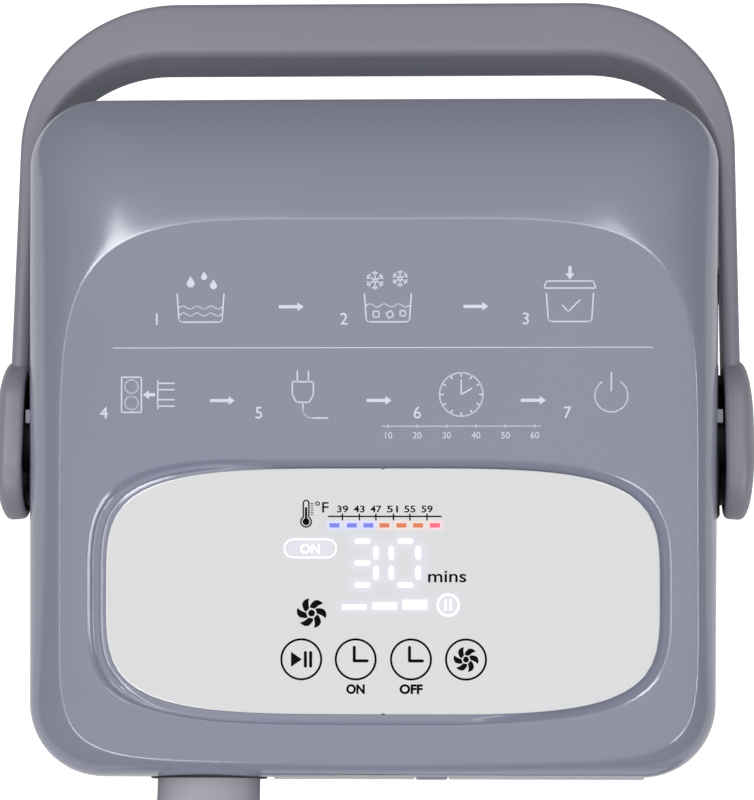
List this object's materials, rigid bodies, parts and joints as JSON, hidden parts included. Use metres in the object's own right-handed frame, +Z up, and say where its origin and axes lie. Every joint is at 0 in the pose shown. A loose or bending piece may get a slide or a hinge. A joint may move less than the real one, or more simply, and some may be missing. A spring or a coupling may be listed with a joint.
{
  "type": "hot cold therapy machine",
  "caption": "Insulated water tank with a lift-off pump lid, a sloping touch panel, a folding carry handle and an insulated hose with a quick connector.",
  "frame": {"origin": "on the floor, midway between the two handle pivots and under the middle of the tank", "axes": "+Z up, -Y the front with the hose and panel, +X to the right along the handle's pivot axis"},
  "size_m": [0.403, 0.8049, 0.2422],
  "materials": {
    "shell": "smooth moulded pale grey plastic",
    "liner": "smooth white-grey food-safe plastic",
    "foam": "rigid insulating foam, taken as a light material",
    "window": "clear moulded window",
    "black_rubber": "matte black rubber",
    "grey_rubber": "matte dark grey rubber",
    "steel": "bright screw steel",
    "pivot_plastic": "black moulded plastic",
    "handle": "fine satin dark lavender grey plastic",
    "lid": "fine satin lavender grey plastic",
    "lid_base": "smooth pale grey plastic",
    "panel": "white gloss panel with black printed signs",
    "board": "green circuit board",
    "shade": "black light shade",
    "pump_plastic": "black glass-filled plastic",
    "line": "milky flexible tube",
    "lead": "black two-core lead",
    "brass": "turned brass",
    "jacket": "soft light grey foam-backed cloth sleeve",
    "connector": "pale grey plastic",
    "latch": "blue plastic"
  },
  "bodies": {
    "tank": {"tank_shell": "shell", "tank_liner": "liner", "tank_insulation": "foam", "level_window": "window", "window_gasket": "grey_rubber", "feet": "black_rubber", "foot_screws": "steel", "pivot_plates": "pivot_plastic", "pivot_pins": "steel", "pivot_nuts": "steel", "connector_sleeve": "black_rubber", "connector_body": "connector", "socket_seals": "black_rubber", "latch_spring": "steel"},
    "handle": {"handle_bail": "handle", "lock_segments": "pivot_plastic", "hub_caps": "handle"},
    "lid": {"lid_cover": "lid", "lock_lugs": "handle", "lid_base": "lid_base", "lid_gasket": "grey_rubber", "lid_screws": "steel", "panel_lens": "panel", "display_board": "board", "light_box": "shade", "key_pads": "grey_rubber", "board_screws": "steel", "driver_board": "board", "driver_screws": "steel", "dc_jack": "pivot_plastic", "jack_nut": "steel", "jack_lead": "lead", "motor_lead": "lead", "pump_housing": "pump_plastic", "pump_cover": "pump_plastic", "pump_seal": "grey_rubber", "pump_screws": "steel", "shaft_bushes": "brass", "motor_can": "steel", "motor_end": "pump_plastic", "pump_saddle": "pump_plastic", "saddle_screws": "steel", "supply_line": "line", "return_line": "line", "return_nozzle": "lid_base", "suction_line": "line", "suction_grommet": "black_rubber", "strainer": "lid_base", "temperature_probe": "steel", "probe_nut": "steel", "hose_collar": "black_rubber", "hose_jacket": "jacket"},
    "impeller": {"impeller": "shade", "pump_shaft": "steel", "motor_rotor": "steel"},
    "latch": {"connector_latch": "latch"}
  },
  "joints": [
    {"name": "handle_swing", "type": "hinge", "parent": "tank", "child": "handle", "pos_m": [0, 0, 0.188], "axis": [1, 0, 0], "range_deg": [0, 100]},
    {"name": "lid_lift", "type": "slide", "parent": "tank", "child": "lid", "axis": [0, 0, 1], "range_m": [0, 0.35]},
    {"name": "pump_spin", "type": "hinge", "parent": "lid", "child": "impeller", "pos_m": [-0.03, 0.071, 0.218], "axis": [1, 0, 0], "continuous": true},
    {"name": "latch_press", "type": "slide", "parent": "tank", "child": "latch", "axis": [0, 0, -1], "range_m": [0, 0.002], "stiffness_N_per_m": 600, "springref_m": -0.002, "deforming": ["latch_spring"]}
  ]
}
